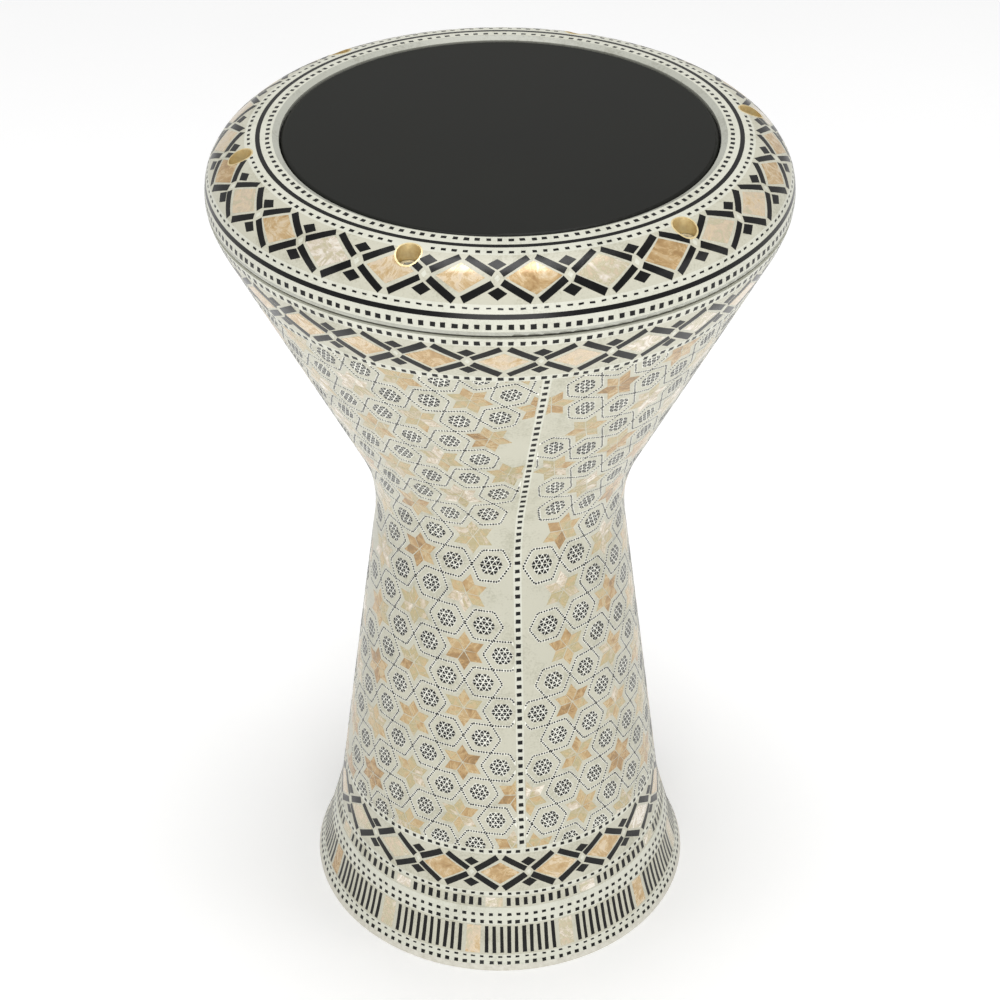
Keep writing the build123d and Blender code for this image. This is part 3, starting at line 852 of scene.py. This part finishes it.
# ---- everything else on the shell
def shell_bands():
    strips = {
        "bowl_dot_strip_upper": (0.0, 5.0), "bowl_dot_strip_lower": (29.1, 33.1),
        "foot_dot_strip_1": (373.5, 377.1), "foot_dot_strip_2": (401.9, 404.7),
        "foot_dot_strip_3": (414.9, 418.6), "foot_dot_strip_4": (418.6, 422.6),
        "foot_dot_strip_5": (441.4, 443.9), "foot_dot_strip_6": (443.9, 448.15),
    }
    for name, span in strips.items():
        strip = strip_mesh(name.replace("dot_strip", "strip"), SHELL, span, WHITE)
        settle(strip, "shell", "strip_white", name)
    bead = strip_mesh("foot_line", SHELL, (412.0, 414.9), WHITE, top=0.0, step=0.8)
    settle(bead, "shell", "strip_white", "foot_bead")
    grounds = {
        "bowl_band_resin": (5.0, 29.1), "foot_band_resin": (377.1, 401.9),
        "short_bar_band_resin": (404.7, 412.0), "long_bar_band_resin": (422.6, 441.4),
    }
    for name, span in grounds.items():
        settle(strip_mesh(name.replace("_resin", "_ground"), SHELL, span, GROUND), "shell", "resin", name)
    squares = Inlay(SHELL)
    dotted_row(squares, SHELL, 179, 3.0, 2.5, 2.4)
    dotted_row(squares, SHELL, 165, 31.1, 2.4, 2.2)
    dotted_row(squares, SHELL, 112, 375.3, 2.4, 1.8)
    dotted_row(squares, SHELL, 118, 403.3, 2.2, 1.4)
    dotted_row(squares, SHELL, 122, 416.4, 2.2, 1.7)
    dotted_row(squares, SHELL, 124, 420.9, 2.3, 2.0)
    dotted_row(squares, SHELL, 132, 442.6, 2.1, 1.0)
    dotted_row(squares, SHELL, 134, 446.2, 2.3, 2.0)
    settle(squares.build("shell_dot_rows", BLACK), "shell", "black_inlay")
    for place, cells, phase, d in (("bowl", 26, 0.8, 17.0), ("foot", 18, 0.0, 389.5)):
        pearl, bars, white = diamond_band(SHELL, cells, phase, d, 3.7)
        settle(pearl.build(f"{place}_diamonds", PEARL_BAND), "shell", "pearl", f"{place}_pearls")
        settle(bars.build(f"{place}_bars", BLACK), "shell", "black_inlay")
        settle(white.build(f"{place}_bar_joints", WHITE), "shell", "strip_white")
    bar_bands = (
        ("short_bar", 11, -1.9, 408.35, (9.5, 5.6), 9, (2.2, 5.0), 4.75),
        ("long_bar", 12, -8.5, 432.0, (8.3, 17.2), 10, (2.0, 16.8), 4.2),
    )
    for place, cells, phase, d, panel, count, bar, step in bar_bands:
        pearl, bars = bar_band(SHELL, cells, phase, d, panel, count, bar, step)
        settle(pearl.build(f"{place}_panels", PEARL_BAND), "shell", "pearl", f"{place}_pearls")
        settle(bars.build(f"{place}_bars", BLACK), "shell", "black_inlay")


def in_well(azimuth, d, margin):
    r = float(RING.radius(d))
    x, y = r * math.sin(azimuth), -r * math.cos(azimuth)
    for screw in SCREWS:
        cx, cy = SCREW_CIRCLE * math.sin(screw), -SCREW_CIRCLE * math.cos(screw)
        if math.hypot(x - cx, y - cy) < WELL_R + margin:
            return True
    return False


def ring_skin():
    cutter = well_cutter()
    strips = {
        "ring_dot_strip_1": (3.4, 9.3), "ring_dot_strip_2": (11.5, 16.8),
        "ring_dot_strip_3": (40.4, 44.6), "ring_dot_strip_4": (47.0, 53.2),
    }
    for name, span in strips.items():
        obj = strip_mesh(name.replace("dot_strip", "strip"), RING, span, WHITE)
        if name.endswith("2"):
            cut_wells(obj, cutter)
        settle(obj, "tuning_ring", "strip_white", name)
    lines = {"ring_black_line_inner": (9.3, 11.5), "ring_black_line_outer": (44.6, 47.0)}
    for name, span in lines.items():
        obj = strip_mesh(name.replace("black_line", "line"), RING, span, BLACK, top=TILE_LIFT)
        settle(obj, "tuning_ring", "black_inlay", name)
    ground = cut_wells(strip_mesh("ring_band_ground", RING, (16.8, 40.4), GROUND), cutter)
    settle(ground, "tuning_ring", "resin", "ring_band_resin")
    squares = Inlay(RING)
    dotted_row(squares, RING, 141, 5.7, 2.3, 2.0)
    dotted_row(squares, RING, 152, 14.8, 2.2, 1.5, skip=lambda a: in_well(a, 14.8, 1.2))
    dotted_row(squares, RING, 173, 42.1, 2.3, 0.9)
    dotted_row(squares, RING, 180, 50.7, 2.5, 2.4)
    settle(squares.build("ring_dot_rows", BLACK), "tuning_ring", "black_inlay")
    pearl, bars, white = diamond_band(RING, 26, -7.5, 28.6, 3.3)
    settle(cut_wells(pearl.build("ring_diamonds", PEARL_BAND), cutter), "tuning_ring", "pearl",
           "ring_pearls")
    settle(cut_wells(bars.build("ring_bars", BLACK), cutter), "tuning_ring", "black_inlay")
    settle(white.build("ring_bar_joints", WHITE), "tuning_ring", "strip_white")
    bpy.data.objects.remove(cutter)


star_field()
shell_bands()
ring_skin()

# ---- CAD pieces that stay, with their materials
KEPT = {
    "bowl_casting": CAST, "stem_casting": CAST, "shell_base_coat": GROUND,
    "drumhead_film": FILM, "drumhead_hoop": HOOP,
    "hoop_resin": HOOP_RESIN, "tuning_ring_casting": RING_CAST, "ring_base_coat": EDGE,
    "well_liners": BRASS, "screw_washers": STEEL,
}
for i in range(1, 7):
    KEPT[f"tuning_screw_{i}"] = STEEL
for name, mat in KEPT.items():
    data = nodes[name].data
    data.materials.clear()
    data.materials.append(mat)
    data.polygons.foreach_set("material_index", np.zeros(len(data.polygons), np.int32))

# ---- floor, light and camera
floor_mesh = bpy.data.meshes.new("floor")
floor_mesh.from_pydata([(-6, -4, 0), (6, -4, 0), (6, 8, 0), (-6, 8, 0)], [], [(0, 1, 2, 3)])
floor_mat, floor_tree, floor_shader = new_material("floor", roughness=0.9, specular=0.1)
floor_tree.links.new(
    ramp(floor_tree, noise(floor_tree, 3.0), [(0.2, (0.93, 0.93, 0.93, 1)), (0.8, (0.95, 0.95, 0.95, 1))]),
    floor_shader.inputs["Base Color"],
)
floor_shader.inputs["Emission Color"].default_value = (1.0, 1.0, 1.0, 1.0)
floor_shader.inputs["Emission Strength"].default_value = 0.16
floor_mesh.materials.append(floor_mat)
floor = bpy.data.objects.new("floor", floor_mesh)
bpy.context.scene.collection.objects.link(floor)

world = bpy.data.worlds.new("studio")
world.use_nodes = True
world.node_tree.nodes["Background"].inputs["Color"].default_value = (1.0, 1.0, 1.0, 1.0)
world.node_tree.nodes["Background"].inputs["Strength"].default_value = 0.6
bpy.context.scene.world = world


def softbox(name, place, target, width, height, watts):
    data = bpy.data.lights.new(name, "AREA")
    data.shape = "RECTANGLE"
    data.size = width
    data.size_y = height
    data.energy = watts
    obj = bpy.data.objects.new(name, data)
    obj.location = place
    obj.rotation_euler = (Vector(target) - Vector(place)).to_track_quat("-Z", "Y").to_euler()
    bpy.context.scene.collection.objects.link(obj)


softbox("overhead", (0.0, 0.0, 2.2), (0, 0, 0.4), 1.0, 0.9, 17.0)
softbox("front_box", (0.05, -2.1, 0.62), (0, 0, 0.3), 1.25, 1.1, 16.0)
softbox("left_box", (-1.9, -0.6, 1.3), (0, 0, 0.3), 0.8, 1.0, 1.8)
softbox("right_box", (1.9, -0.4, 1.3), (0, 0, 0.3), 0.8, 1.0, 3.5)

camera_data = bpy.data.cameras.new("camera")
camera_data.lens = 81.73
camera_data.sensor_width = 36.0
camera = bpy.data.objects.new("camera", camera_data)
camera.location = (0.0, -0.9892, 0.9418)
camera.rotation_euler = (math.radians(90 - 35.15), 0.0, 0.0)
bpy.context.scene.collection.objects.link(camera)
bpy.context.scene.camera = camera
bpy.context.scene.view_settings.view_transform = "Standard"


def corners(box):
    return [[float(v) for v in corner] for corner in box]
